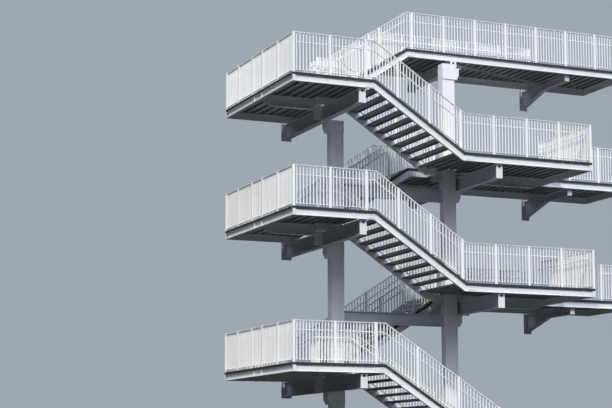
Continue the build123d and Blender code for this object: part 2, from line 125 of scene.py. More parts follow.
class Finish(Nodes):
    """A surface finish: noise, colour mixes and the shader that they end in."""

    def __init__(self, name):
        self.material = bpy.data.materials.new(name)
        self.material.use_nodes = True
        super().__init__(self.material.node_tree)
        self.tree.nodes.clear()
        self.place = self.node("ShaderNodeTexCoord")["Object"]

    def stretched(self, scale):
        return self.node(
            "ShaderNodeMapping", None, {"Vector": self.place, "Scale": scale}
        )["Vector"]

    def noise(self, scale, detail=3.0, stretch=None, roughness=0.5):
        where = self.stretched(stretch) if stretch else self.place
        return self.node(
            "ShaderNodeTexNoise", None,
            {"Vector": where, "Scale": scale, "Detail": detail, "Roughness": roughness},
        )["Fac"]

    def between(self, value, low, high):
        """0 below low, 1 above high."""
        return self.node(
            "ShaderNodeMapRange", {"clamp": True},
            {"Value": value, "From Min": low, "From Max": high},
        )["Result"]

    def mix(self, amount, first, second):
        return self.node(
            "ShaderNodeMix", {"data_type": "RGBA"},
            {
                "Factor": amount,
                "A": first if isinstance(first, Value) else (*first, 1),
                "B": second if isinstance(second, Value) else (*second, 1),
            },
        )["Result"]

    def end(self, colour, roughness, height, depth, metallic=0.0, gloss=0.2):
        """The shader these end in, with the height as a bump. Returns the material."""
        normal = self.node(
            "ShaderNodeBump", None, {"Height": height, "Distance": depth, "Strength": 0.6}
        )["Normal"]
        shader = self.node(
            "ShaderNodeBsdfPrincipled", None,
            {
                "Base Color": colour, "Roughness": roughness, "Metallic": metallic,
                "Normal": normal, "Specular IOR Level": gloss,
            },
        )["BSDF"]
        self.node("ShaderNodeOutputMaterial", None, {"Surface": shader})
        return self.material


def looked_at(nodes):
    """1 for the rays that bring a thing into the picture, 0 for those that light others."""
    rays = nodes.node("ShaderNodeLightPath")
    return rays["Is Camera Ray"] + rays["Is Glossy Ray"] + rays["Is Transmission Ray"]


# The ground it stands on and the air round it, both pale and plain.
square = ((-1, -1), (1, -1), (1, 1), (-1, 1))
floor_reach = 400
ground = Finish("ground")
grain = ground.noise(3.0, 6.0)
pale = ground.mix(grain * 0.5, (0.31, 0.33, 0.34), (0.28, 0.30, 0.31))
ground.end(ground.mix(looked_at(ground), (0.03, 0.03, 0.03), pale), 0.85, grain, 0.002)
floor_mesh = bpy.data.meshes.new("ground")
floor_mesh.from_pydata(
    [(floor_reach * s, floor_reach * t, 0) for s, t in square], [], [(0, 1, 2, 3)]
)
floor_mesh.materials.append(ground.material)
floor = add("ground", floor_mesh)

scene.world = bpy.data.worlds.new("air")
scene.world.use_nodes = True
air = Nodes(scene.world.node_tree)
air.tree.nodes.clear()
seen = air.node("ShaderNodeBackground", None, {"Color": (0.34, 0.39, 0.45, 1), "Strength": 1.0})
# The sky lights it from above and in front, and little from low down or from behind.
outward = air.node("ShaderNodeTexCoord")["Generated"]
sky = air.node("ShaderNodeSeparateXYZ", None, {"Vector": outward})
sky_strength = 1.75
high, in_front = (
    air.node(
        "ShaderNodeMapRange", {"clamp": True},
        {"Value": sky[axis], "From Min": low, "From Max": top, "To Min": least, "To Max": most},
    )["Result"]
    for axis, low, top, least, most in (("Z", 0.10, 0.55, 0.05, 1.0), ("Y", -0.2, 0.3, 1.0, 0.3))
)
fill = air.node(
    "ShaderNodeBackground", None,
    {"Color": (0.68, 0.80, 1.0, 1), "Strength": high * in_front * sky_strength},
)
mixed = air.node(
    "ShaderNodeMixShader", None,
    {0: looked_at(air), 1: fill["Background"], 2: seen["Background"]},
)
air.node("ShaderNodeOutputWorld", None, {"Surface": mixed["Shader"]})


# Painted steel, as on every rolled section here: a light grey coat with broad patches,
# rain streaks down the upright faces, a little grime and rare rust specks.
def paint(name, light, shade, grime=0.35, roughness=0.55):
    coat = Finish(name)
    patches = coat.between(coat.noise(0.7, 4.0), 0.35, 0.65)
    mottle = coat.noise(24.0, 4.0, roughness=0.6)
    streaks = coat.between(coat.noise(1.0, 5.0, (9.0, 9.0, 0.55)), 0.50, 0.78)
    smuts = coat.between(coat.noise(5.0, 6.0, roughness=0.7), 0.60, 0.80)
    specks = coat.between(coat.noise(38.0, 2.0), 0.735, 0.76) * coat.between(
        coat.noise(1.7, 2.0), 0.56, 0.62
    )
    base = coat.mix(patches * 0.7 + mottle * 0.3, light, shade)
    base = coat.mix(streaks * grime, base, tuple(0.72 * c for c in shade))
    base = coat.mix(smuts * grime * 0.7, base, tuple(0.60 * c for c in shade))
    base = coat.mix(specks, base, (0.26, 0.13, 0.07))
    rough = roughness + streaks * 0.14 + specks * 0.3 + mottle * 0.06
    peel = coat.noise(160.0, 3.0)
    return coat.end(base, rough, peel + specks * 2.0, 0.0004, gloss=0.0)


def wear(node, material):
    """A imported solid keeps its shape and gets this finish."""
    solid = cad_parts[node]
    if not solid.material_slots:
        solid.data.materials.append(material)
    for held in solid.material_slots:
        held.material = material


# Two closed box columns on anchored base plates carry the tower. Cross beams sit beside
# them on corbels and run to the back, ties join the columns, and tapered brackets hold
# the walkways. All are welded or rolled steel sections, painted in the works.
column_paint = paint("column paint", (0.83, 0.83, 0.82), (0.76, 0.76, 0.76))
# The beams carry the columns' coat, but their paint is set much darker as painted shade, for the
# shade under the landings.
shade_darkened_beam_paint = paint("beam paint", (0.58, 0.60, 0.63), (0.50, 0.52, 0.56))
for node, coat in (
    ("column_left", column_paint), ("column_right", column_paint), ("support_beams", shade_darkened_beam_paint),
):
    wear(node, coat)

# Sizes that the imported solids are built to, in metres.
going = 0.27
risers = [13, 13, 13, 10, 10, 10, 10]
riser_height = [0.1737, 0.1737, 0.1737, 0.1792, 0.1792, 0.176, 0.176]
level = [sum(n * h for n, h in zip(risers[:k], riser_height)) for k in range(8)]
left_end, right_end, walkway_end = -2.35, 6.828, 9.89
front, back, wall_face = -2.525, 2.525, 2.875
column_x, bracket_x = (0.0, 3.55), 7.85
beam_x = (-0.303, 3.853)
walkway_landings = (3, 5, 7)
edge_depth = 0.23


def new_mesh(name, build):
    """Mesh that a function fills through bmesh, with its faces outward."""
    shape = bmesh.new()
    build(shape)
    bmesh.ops.recalc_face_normals(shape, faces=shape.faces)
    mesh = bpy.data.meshes.new(name)
    shape.to_mesh(mesh)
    shape.free()
    return mesh


def prism(shape, outline, low, high, place=lambda u, v, w: (u, v, w)):
    """Straight solid of a closed outline between two depths, set in space by place."""
    ends = [[shape.verts.new(place(u, v, w)) for u, v in outline] for w in (low, high)]
    for ring in ends:
        shape.faces.new(ring)
    for k in range(len(outline)):
        n = (k + 1) % len(outline)
        shape.faces.new((ends[0][k], ends[0][n], ends[1][n], ends[1][k]))


def along_y(u, v, w):
    """Place of an outline in X and Z that is drawn out along Y."""
    return u, w, v


def round_outline(radius, sides, turned=0.0, centre=(0, 0)):
    return [
        (
            centre[0] + radius * cos(2 * pi * k / sides + turned),
            centre[1] + radius * sin(2 * pi * k / sides + turned),
        )
        for k in range(sides)
    ]


def block(shape, low, high):
    (x0, y0, z0), (x1, y1, z1) = low, high
    prism(shape, [(x0, y0), (x1, y0), (x1, y1), (x0, y1)], z0, z1)


def bolt_head(size):
    """Hexagon head on a washer, standing on the plane z = 0."""
    def build(shape):
        prism(shape, round_outline(1.05 * size, 12), 0, 0.16 * size)
        prism(shape, round_outline(0.9 * size, 6), 0.16 * size, 0.82 * size)
        prism(shape, round_outline(0.42 * size, 8), 0.82 * size, 1.25 * size)
    return build


def tree_of(name, inputs):
    """An empty geometry tree that takes a mesh and these inputs and gives a mesh."""
    tree = bpy.data.node_groups.new(name, "GeometryNodeTree")
    tree.interface.new_socket("Mesh", in_out="INPUT", socket_type="NodeSocketGeometry")
    for label, kind in inputs.items():
        tree.interface.new_socket(label, in_out="INPUT", socket_type="NodeSocket" + kind)
    tree.interface.new_socket("Mesh", in_out="OUTPUT", socket_type="NodeSocketGeometry")
    nodes = Nodes(tree)
    return nodes, nodes.node("NodeGroupInput")


def attribute_of(nodes, name, kind):
    return nodes.node(
        "GeometryNodeInputNamedAttribute", {"data_type": kind}, {"Name": name}
    )["Attribute"]


def close_tree(nodes, geometry, material):
    """End of every tree: real meshes, one material."""
    real = nodes.node("GeometryNodeRealizeInstances", None, {"Geometry": geometry})["Geometry"]
    done = nodes.node(
        "GeometryNodeSetMaterial", None, {"Geometry": real, "Material": material}
    )["Geometry"]
    nodes.node("NodeGroupOutput", None, {"Mesh": done})
    return nodes.tree


# Pieces set out one by one: each point has its own turn and size.
nodes, given = tree_of("set out", {"Piece": "Object", "Finish": "Material"})
piece = nodes.node("GeometryNodeObjectInfo", None, {"Object": given["Piece"]})["Geometry"]
turn_of, size_of = (attribute_of(nodes, name, "FLOAT_VECTOR") for name in ("turn", "size"))
turned = nodes.node("FunctionNodeEulerToRotation", None, {"Euler": turn_of})["Rotation"]
copies = nodes.node(
    "GeometryNodeInstanceOnPoints", None,
    {"Points": given["Mesh"], "Instance": piece, "Scale": size_of, "Rotation": turned},
)["Instances"]
set_out = close_tree(nodes, copies, given["Finish"])


def bake(name, mesh, tree, settings, smooth=None):
    """Run a tree on a mesh and keep what it makes as a plain mesh with no modifier."""
    held = add(name, mesh)
    modifier = held.modifiers.new("layout", "NODES")
    modifier.node_group = tree
    for socket in tree.interface.items_tree:
        if socket.in_out == "INPUT" and socket.name in settings:
            modifier[socket.identifier] = settings[socket.name]
    graph = bpy.context.evaluated_depsgraph_get()
    made = bpy.data.meshes.new_from_object(held.evaluated_get(graph), depsgraph=graph)
    held.modifiers.clear()
    held.data = made
    made.name = name
    shape = bmesh.new()
    shape.from_mesh(made)
    bmesh.ops.recalc_face_normals(shape, faces=shape.faces)
    shape.to_mesh(made)
    shape.free()
    for stale in list(made.attributes):
        if stale.name in ("turn", "size"):
            made.attributes.remove(stale)
    if smooth:
        made.shade_smooth()
        made.set_sharp_from_angle(angle=radians(smooth))
    return held


def placed(name, build, places, material, nodes_replaced=()):
    """Copies of one piece at (point, turn, size) places, as one riding object."""
    pattern = add("pattern", new_mesh("pattern", build))
    dots = bpy.data.meshes.new("places")
    dots.from_pydata([point for point, turn, size in places], [], [])
    for label, column in (("turn", 1), ("size", 2)):
        held = dots.attributes.new(label, "FLOAT_VECTOR", "POINT")
        held.data.foreach_set("vector", [c for place in places for c in place[column]])
    made = bake(name, dots, set_out, {"Piece": pattern, "Finish": material})
    bpy.data.objects.remove(pattern)
    fix_on(made, nodes_replaced)


def fix_on(made, nodes_replaced=()):
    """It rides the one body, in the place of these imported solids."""
    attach(made, "root")
    if nodes_replaced:
        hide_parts(*nodes_replaced)


def whole(name, build, material, nodes_replaced=()):
    """A piece that is built in its own place."""
    made = add(name, new_mesh(name, build))
    made.data.materials.append(material)
    fix_on(made, nodes_replaced)


upright, half_turn, full = (0.0, 0.0, 0.0), (0.0, 0.0, pi), (1.0, 1.0, 1.0)
facing_out = (pi / 2, 0.0, 0.0)
zinc = Finish("galvanised fasteners")
zinc_grain = zinc.noise(60.0, 3.0)
dulled = zinc.between(zinc.noise(9.0, 3.0), 0.5, 0.7)
zinc_metal = zinc.end(
    zinc.mix(dulled, (0.56, 0.58, 0.60), (0.40, 0.36, 0.33)),
    0.42 + zinc_grain * 0.2, zinc_grain, 0.0005, metallic=0.7,
)


# The bolts that hold the members: anchors with nuts through the base plates, bolts
# through each beam's seat on its corbel, and bolts through the plates that end the beams
# and brackets at the back. All are galvanised hexagon heads on washers.
# First half their spacings at the base plates and the seats, and what the heads stand on.
anchor_x, anchor_y, seat_x, seat_y = 0.25, 0.12, 0.065, 0.09
base_top, seat_flange, wall_plate = 0.036, 0.014, 0.02
# Then how far they are past a beam at the back, and their places on a bracket's plate.
beam_past, bracket_middle, bracket_aside, bracket_up = 0.03, 0.27, 0.105, 0.30


def beam_depth(landing):
    return 0.3 if landing == 7 else 0.4


def beam_seat(landing):
    """Height of the corbel's seat under a landing's cross beam."""
    return level[landing] - edge_depth - beam_depth(landing)


anchors = [
    ((x + dx, dy, base_top), upright, (1, 1, 1.35))
    for x in column_x for dx in (-anchor_x, anchor_x) for dy in (-anchor_y, anchor_y)
]
placed("anchor_nuts", bolt_head(0.030), anchors, zinc_metal)
seat_bolts, wall_bolts = [], []
for landing in range(1, 8):
    x, depth = beam_x[landing % 2], beam_depth(landing)
    middle = beam_seat(landing) + depth / 2
    seat_bolts += [
        ((x + dx, dy, beam_seat(landing) + seat_flange), upright, full)
        for dx in (-seat_x, seat_x) for dy in (-seat_y, seat_y)
    ]
    plates = [(x, middle, 0.1 + beam_past, depth / 2 + beam_past)]
    if landing in walkway_landings:
        height = level[landing] - edge_depth - bracket_middle
        plates.append((bracket_x, height, bracket_aside, bracket_up))
    for centre, height, aside, up in plates:
        wall_bolts += [
            ((centre + dx, wall_face - wall_plate, height + dz), facing_out, full)
            for dx in (-aside, aside) for dz in (-up, 0, up)
        ]
placed("seat_bolts", bolt_head(0.020), seat_bolts, zinc_metal)
placed("wall_bolts", bolt_head(0.020), wall_bolts, zinc_metal)


# End plates close the free ends of the cross beams. Each is a thin steel plate welded on,
# with a lifting hole near its top; a black disc inside each hole is painted shade for the hole.
plate_thick, hole_radius, hole_drop = 0.012, 0.036, 0.075
free_end, top_free_end = front + 0.09, 0.125


def end_plate(height):
    """A plate in an upper and a lower part, which meet at the level of the hole."""
    def build(shape):
        half, top, across = 0.1, height / 2, height / 2 - hole_drop
        rim = round_outline(hole_radius, 16, pi / 16, (0, across))
        upper = sorted((p for p in rim if p[1] > across), key=lambda p: p[0])
        lower = sorted((p for p in rim if p[1] < across), key=lambda p: -p[0])
        split, ends = ([(reach, across), (-reach, across)] for reach in (half, hole_radius))
        shell = bmesh.new()
        for outline in (
            [split[1], ends[1], *upper, ends[0], split[0], (half, top), (-half, top)],
            [split[0], ends[0], *lower, ends[1], split[1], (-half, -top), (half, -top)],
        ):
            shell.faces.new([shell.verts.new((u, 0, v)) for u, v in outline])
        bmesh.ops.remove_doubles(shell, verts=shell.verts, dist=1e-5)
        thick = bmesh.ops.extrude_face_region(shell, geom=list(shell.faces))
        moved = [e for e in thick["geom"] if isinstance(e, bmesh.types.BMVert)]
        bmesh.ops.translate(shell, verts=moved, vec=(0, plate_thick, 0))
        bmesh.ops.dissolve_degenerate(shell, dist=1e-6, edges=shell.edges)
        kept = bpy.data.meshes.new("plate")
        shell.to_mesh(kept)
        shell.free()
        shape.from_mesh(kept)
    return build


# A black disc set inside a lifting hole: painted shade, so that the open hole reads dark.
def hole_shade_disc(shape):
    prism(shape, round_outline(hole_radius, 16), 0.002, 0.010, along_y)


# Near-black finish of those discs, which stands for the shade inside the holes.
hole_shade_finish = Finish("black rubber")
hole_shade_grain = hole_shade_finish.noise(90.0, 2.0)
hole_shade_tone = hole_shade_finish.mix(hole_shade_grain, (0.016, 0.016, 0.018), (0.030, 0.030, 0.032))
hole_shade_black = hole_shade_finish.end(hole_shade_tone, 0.8, hole_shade_grain, 0.0004)
bright_paint = paint("beam end paint", (0.76, 0.76, 0.75), (0.69, 0.69, 0.69), 0.2)
dark_hole_discs = []
for name, landings, near in (
    ("beam_end_plates", range(1, 7), free_end), ("top_beam_end_plate", (7,), top_free_end),
):
    half = beam_depth(landings[0]) / 2
    places = [
        ((beam_x[n % 2], near - plate_thick, beam_seat(n) + half), upright, full)
        for n in landings
    ]
    dark_hole_discs += [((x, y, z + half - hole_drop), upright, full) for (x, y, z), _, _ in places]
    placed(name, end_plate(2 * half), places, bright_paint)
placed("hole_plugs", hole_shade_disc, dark_hole_discs, hole_shade_black)


# Rolled steel channels edge every landing and bend down as the stringers of the flights.
# A kerb plate stands on each. Plates spliced over the joints have eight bolts, and short
# stiffeners are welded between the flanges where beams and brackets meet the edge.
flight_width = 2.34
well_front, well_back = front + flight_width, back - flight_width
left_bend = [left_end + x for x in (2.3, 2.65, 2.3, 2.406, 2.01, 2.406, 2.01)]
right_bend = [x + n * going for x, n in zip(left_bend, risers)]
splice_leg, run_on = 0.15, 30
well_left = left_end + 1.75
centre_strips = {1: left_end + 6.38, 3: left_end + 5.3, 5: left_end + 5.3}
centre_strips.update({n: well_left for n in (2, 4, 6)})
edge_paint = paint("edge channel paint", (0.77, 0.77, 0.76), (0.69, 0.70, 0.70), 0.35)
for n in range(1, 8):
    wear(f"landing_frame_{n}", edge_paint)
    wear(f"stringers_{n}", edge_paint)


def flight_line(flight, depth=0.0):
    """Floor line of a flight, or the line a square depth under it, run on at both ends."""
    low, high = level[flight - 1], level[flight]
    if flight % 2 == 0:
        low, high = high, low
    left, right = left_bend[flight - 1], right_bend[flight - 1]
    shift = depth * tan(atan2(high - low, right - left) / 2)
    return [
        (-run_on, low - depth), (left + shift, low - depth), (right + shift, high - depth),
        (run_on, high - depth),
    ]


def flight_edges(flight):
    return (well_back, back) if flight % 2 else (front, well_front)


def frame_ends(landing):
    """X where the deck's frame meets the front flight, the well and the back flight."""
    if landing % 2 == 0:
        return left_bend[landing - 1], centre_strips[landing], left_bend[landing]
    if landing == 7:
        return None, None, right_bend[6]
    return right_bend[landing], centre_strips[landing], right_bend[landing - 1]


def edge_paths(landing):
    """The landing's edges in plan, each walked with the deck on its left."""
    outer, centre, inner = frame_ends(landing)
    if landing % 2 == 0:
        outer, inner = outer - splice_leg, inner - splice_leg
        return [
            [(inner, back), (left_end, back), (left_end, front), (outer, front)],
            [(outer, well_front), (centre, well_front), (centre, well_back), (inner, well_back)],
        ]
    inner += splice_leg
    if landing == 7:
        return [[(inner, well_back), (walkway_end, well_back), (walkway_end, back), (inner, back)]]
    outer += splice_leg
    side = [(right_end, back)] if landing == 1 else [
        (right_end, well_back), (walkway_end, well_back), (walkway_end, back)
    ]
    well = [(centre, well_back), (centre, well_front), (outer, well_front)]
    return [
        [(outer, front), (right_end, front), *side, (inner, back)],
        [(inner, well_back), *well] if inner < centre else well,
    ]


def moved_in(path, distance):
    """A plan path moved to its left, with square corners."""
    legs = [Vector(b) - Vector(a) for a, b in zip(path, path[1:])]
    sides = [Vector((-leg.y, leg.x)).normalized() for leg in legs]
    sides = [sides[0], *sides, sides[-1]]
    return [
        Vector(point) + distance * (before + after) / (1 + before.dot(after))
        for point, before, after in zip(path, sides, sides[1:])
    ]


# The strips of the first flight start at this height, just above the ground.
strips_start = 0.017


def edge_strip(landings, flights, outer, inner, upper, lower, sides):
    """Strips along the edges of landings and the stringers, between two depths in from the
    edge and two depths under the floor. Sides are the long ones, the ends or all."""
    def build(shape):
        runs = []
        for landing in landings:
            top, foot = level[landing] - upper, level[landing] - lower
            for path in edge_paths(landing):
                run = [
                    [(*a, top), (*b, top), (*b, foot), (*a, foot)]
                    for a, b in zip(moved_in(path, outer), moved_in(path, inner))
                ]
                legs = [
                    k for k in range(len(path) - 1)
                    if (path[k][1] == path[k + 1][1]) == (sides == "long")
                ]
                runs += [run] if sides == "all" else [run[k:k + 2] for k in legs]
        for flight in flights:
            lines = []
            for depth in (upper, lower):
                line = flight_line(flight, depth)
                ends = (left_bend[flight - 1] - splice_leg, right_bend[flight - 1] + splice_leg)
                lines.append([(ends[0], line[0][1]), *line[1:3], (ends[1], line[3][1])])
            for y, inward in zip(flight_edges(flight), (1, -1)):
                y0, y1 = y + inward * outer, y + inward * inner
                runs.append([
                    [(u, y0, z), (u, y1, z), (v, y1, w), (v, y0, w)]
                    for (u, z), (v, w) in zip(*lines)
                ])
        for run in runs:
            rings = [[shape.verts.new(p) for p in section] for section in run]
            shape.faces.new(rings[0])
            shape.faces.new(rings[-1])
            for first, second in zip(rings, rings[1:]):
                for k in range(4):
                    n = (k + 1) % 4
                    shape.faces.new((first[k], first[n], second[n], second[k]))
        everything = [*shape.verts, *shape.edges, *shape.faces]
        cut = bmesh.ops.bisect_plane(
            shape, geom=everything, plane_co=(0, 0, strips_start), plane_no=(0, 0, 1),
            clear_inner=True,
        )["geom_cut"]
        bmesh.ops.holes_fill(shape, edges=[e for e in cut if isinstance(e, bmesh.types.BMEdge)])
    return build


# Steel closing plates are welded between the flanges of the edge channels, set back from
# their tips and more so at the ends of the tower. A dark folded toe strip covers the kerb
# and the tip of the top flange; its near-black colour is partly painted shade along the edges.
setback = 0.029
# The toe strip's near-black paint is partly painted shade, for the dark band at the foot of the
# railings.
toe_strip_shade_paint = paint("toe strip paint", (0.060, 0.063, 0.070), (0.045, 0.047, 0.052), 0.3, 0.5)
for landings, flights, stem in [
    *(([n], [], f"landing_{n}") for n in range(1, 8)),
    *(([], [n], f"flight_{n}") for n in range(1, 8)),
]:
    for label, sizes, material in (
        ("closing_plate", (setback, 0.035, 0.055, 0.225, "long"), edge_paint),
        ("end_closing_plate", (0.050, 0.056, 0.055, 0.225, "ends"), edge_paint),
        ("toe_strip", (0.0, 0.003, -0.006, 0.062, "all"), toe_strip_shade_paint),
    ):
        if landings or sizes[-1] != "ends":
            build = edge_strip(landings, flights, *sizes)
            whole(f"{stem}_{label}", build, material)


def facing_pair(x, near, far, height):
    """Places on a near and a far edge, turned to each other."""
    return [((x, near, height), upright, full), ((x, far, height), half_turn, full)]


def splice_plate(shape):
    block(shape, (-0.13, -0.008, -0.062), (0.13, 0, 0.062))
    for x in (-0.09, -0.03, 0.03, 0.09):
        for z in (-0.034, 0.034):
            head = round_outline(0.014, 6, 0, (x, z))
            prism(shape, head, 0.008, 0.018, lambda u, v, w: (u, -w, v))


web_middle = 0.14
splices = []
for flight in range(1, 8):
    near, far = flight_edges(flight)
    at_left, at_right = (flight - 1, flight) if flight % 2 else (flight, flight - 1)
    for x, landing in (
        (left_bend[flight - 1] - splice_leg, at_left),
        (right_bend[flight - 1] + splice_leg, at_right),
    ):
        if landing:
            height = level[landing] - web_middle
            splices += facing_pair(x, near + setback, far - setback, height)
placed("splice_plates", splice_plate, splices, edge_paint)


half_web = 0.079


def stiffener(shape):
    block(shape, (-0.004, 0.004, -half_web), (0.004, 0.030, half_web))


# Half a pair's distance at a spine beam and at a cross beam, and its places on the right.
spine_pair, beam_pair, right_places = 0.27, 0.28, (5.85, 6.44)
stiffeners = []
for landing in range(1, 8):
    height = level[landing] - web_middle
    if landing == 7:
        stiffeners += facing_pair(bracket_x, well_back, back, height)
        continue
    left, beam = landing % 2 == 0, beam_x[landing % 2]
    end, outward = (left_end, -pi / 2) if left else (right_end, pi / 2)
    for y in (-spine_pair, spine_pair):
        stiffeners.append(((end, y, height), (0.0, 0.0, outward), (1.0, 1.65, 1.0)))
    for x in (beam - beam_pair, beam + beam_pair) if left else right_places:
        stiffeners += facing_pair(x, front, back, height)
placed("flange_stiffeners", stiffener, stiffeners, edge_paint)


# Steel corner plates close the mitred corners of the edge channels. They are welded flush
# with the tips of the flanges, so they stand out white from the shade of the top flange.
corner_reach = 0.091


def corner_plate(shape):
    block(shape, (0.001, 0.001, -half_web), (0.09, 0.007, half_web))


corners = []
for landing in range(1, 7):
    height = level[landing] - web_middle
    if landing % 2 == 0:
        corners.append(((left_end, front, height), upright, full))
        corners.append(((left_end, back, height), (0.0, 0.0, -pi / 2), full))
    else:
        corners.append(((right_end - corner_reach, front, height), upright, full))
placed("corner_plates", corner_plate, corners, edge_paint)


# Landing decks are rows of folded steel planks, laid side by side across the edge channels
# and the spine beam. Each is a galvanised sheet bent to a C, so that from below the pairs
# of lips read as light ribs between dark troughs.
channel, plank_width = 0.075, 0.25
sheet = Finish("galvanised deck sheet")
spangle = sheet.node(
    "ShaderNodeTexVoronoi", {"feature": "F1"}, {"Vector": sheet.place, "Scale": 55.0}
)["Color"]
tone = sheet.between(sheet.noise(1.1, 5.0), 0.35, 0.68)
stain = sheet.between(sheet.noise(2.2, 6.0, (1.0, 1.0, 3.0), 0.65), 0.54, 0.76)
# The sheet's greys sit below fresh galvanising: partly dull zinc, partly painted shade for the dark
# undersides of the decks and treads.
dull_and_shaded = sheet.mix(tone, (0.27, 0.28, 0.29), (0.20, 0.21, 0.22))
dull_and_shaded = sheet.mix(0.10, dull_and_shaded, spangle)
dull_and_shaded = sheet.mix(stain * 0.55, dull_and_shaded, (0.15, 0.145, 0.14))
tread_grip = sheet.node(
    "ShaderNodeTexVoronoi", {"feature": "SMOOTH_F1"},
    {"Vector": sheet.stretched((1.0, 0.55, 1.0)), "Scale": 34.0},
)["Distance"]
grip_bump = sheet.between(0.45 - tread_grip, 0.0, 0.25)
sheet_metal = sheet.end(dull_and_shaded, 0.48 + stain * 0.25 + tone * 0.08, grip_bump, 0.0012, 0.15)


def plank(shape):
    """One metre of a plank one metre wide; its set-out size brings it to the real one."""
    near, far, lip, wall, deep, thin = 0.008, 0.992, 0.19, 0.016, 0.05, 0.004
    outline = [
        (near, 0), (far, 0), (far, -deep), (1 - lip, -deep), (1 - lip, thin - deep),
        (far - wall, thin - deep), (far - wall, -thin), (near + wall, -thin),
        (near + wall, thin - deep), (lip, thin - deep), (lip, -deep), (near, -deep),
    ]
    prism(shape, outline, 0, 1, along_y)


def deck_edges(landing):
    """X where the planks stop at the front flight, the well and the back flight."""
    outer, centre, inner = frame_ends(landing)
    if landing % 2 == 0:
        return outer, centre - channel, inner + going
    if landing == 7:
        return None, None, inner
    return outer - going, centre + channel, inner


def plank_rows(landing, x):
    """Front and back of the rows of planks that cross one X."""
    outer, centre, inner = deck_edges(landing)
    side = 1 if landing % 2 == 0 else -1
    rows = [(front + channel, well_front - channel), (well_back + channel, back - channel)]
    if landing == 7 or x > right_end - channel:
        return rows[1:]
    present = [row for row, edge in zip(rows, (outer, inner)) if side * x < side * edge]
    if side * x > side * centre:
        return present
    if side * x > side * (inner - side * splice_leg):
        return [(rows[0][0], well_back), *present[1:]]
    return [(rows[0][0], rows[1][1])]


# Half the sides of the opening in a deck round a column, and the least width of a plank.
opening_x, opening_y, least_width = 0.203, 0.138, 0.02
for landing in range(1, 8):
    stops = [x for x in deck_edges(landing) if x is not None]
    if landing % 2 == 0:
        stops.append(left_end + channel)
    else:
        stops.append((right_end if landing == 1 else walkway_end) - channel)
        stops.append(right_end - channel)
        if landing < 7:
            stops.append(deck_edges(landing)[2] + splice_leg)
    if landing < 7:
        around = [c + s * opening_x for c in column_x for s in (-1, 1)]
        stops += [x for x in around if min(stops) < x < max(stops)]
    stops.sort()
    planks = []
    for start, end in zip(stops, stops[1:]):
        if end - start < least_width:
            continue
        count = max(1, round((end - start) / plank_width))
        width, middle = (end - start) / count, (start + end) / 2
        at_column = landing < 7 and any(abs(middle - c) < opening_x for c in column_x)
        for near, far in plank_rows(landing, middle):
            spans = [(near, far)]
            if at_column and near < -opening_y < opening_y < far:
                spans = [(near, -opening_y), (opening_y, far)]
            planks += [
                ((start + k * width, y0, level[landing]), upright, (width, y1 - y0, 1))
                for y0, y1 in spans for k in range(count)
            ]
    placed(
        f"deck_planks_{landing}", plank, planks, sheet_metal,
        [f"landing_deck_{landing}"],
    )


# Treads are open-riser steps of the same sheet, folded down at the nose and the rear and
# bolted through end cleats to the webs of the stringers. A ribbed non-slip nosing runs
# along the front of each.
tread_span = flight_width - 2 * channel
nosing_paint = Finish("non-slip nosing")
grit = nosing_paint.noise(220.0, 2.0)
worn = nosing_paint.between(nosing_paint.noise(3.0, 4.0), 0.4, 0.7)
nosing_metal = nosing_paint.end(
    nosing_paint.mix(worn, (0.30, 0.31, 0.32), (0.40, 0.40, 0.39)), 0.7 + grit * 0.2, grit, 0.0012
)


def tread(shape):
    """A tread that is climbed towards +X, with its nose edge at the origin."""
    long, deep, wall, half = going + 0.025, 0.05, 0.004, tread_span / 2
    outline = [
        (0, 0), (long, 0), (long, -0.032), (long - wall, -0.032), (long - wall, -wall),
        (wall, -wall), (wall, wall - deep), (0.024, wall - deep), (0.024, -deep), (0, -deep),
    ]
    prism(shape, outline, -half, half, along_y)
    cleat = half - 0.006
    for side in (-1, 1):
        inner, outer = sorted((side * cleat, side * half))
        block(shape, (0.035, inner, -0.048), (0.245, outer, -wall))
        for x in (0.07, 0.21):
            head = round_outline(0.011, 6, 0, (x, -0.027))
            rim, face = sorted((side * cleat, side * (half - 0.016)))
            prism(shape, head, rim, face, along_y)


def nosing_strip(shape):
    half, low, high = tread_span / 2 - 0.01, 0.0035, 0.0055
    outline = [(0.004, low)]
    for k in range(5):
        x = 0.006 + 0.0095 * k
        outline += [(x, low), (x + 0.002, high), (x + 0.005, high), (x + 0.007, low)]
    outline += [(0.056, low), (0.056, 0), (0.004, 0)]
    prism(shape, outline, -half, half, along_y)


for flight in range(1, 8):
    near, far = flight_edges(flight)
    middle = (near + far) / 2
    if flight % 2:
        top, step, facing = right_bend[flight - 1], -going, upright
    else:
        top, step, facing = left_bend[flight - 1], going, half_turn
    steps = []
    for k in range(1, risers[flight - 1]):
        height = level[flight] - k * riser_height[flight - 1]
        steps.append(((top + k * step, middle, height), facing, full))
    stem = f"treads_{flight}"
    placed(stem + "_pans", tread, steps, sheet_metal, [stem])
    placed(stem + "_nosings", nosing_strip, steps, nosing_metal, [stem])


# Steel railings stand on the channel's top flange: square posts with welded feet and caps,
# a flat bottom rail, a double flat top rail, about ten thin square balusters to a bay,
# and a round handrail carried inside on bent rods. All are painted like the channels.
railing_paint = paint("railing paint", (0.88, 0.88, 0.86), (0.82, 0.82, 0.80), 0.25)
handrail_paint = paint("handrail paint", (0.86, 0.86, 0.85), (0.80, 0.80, 0.80), 0.15, 0.35)
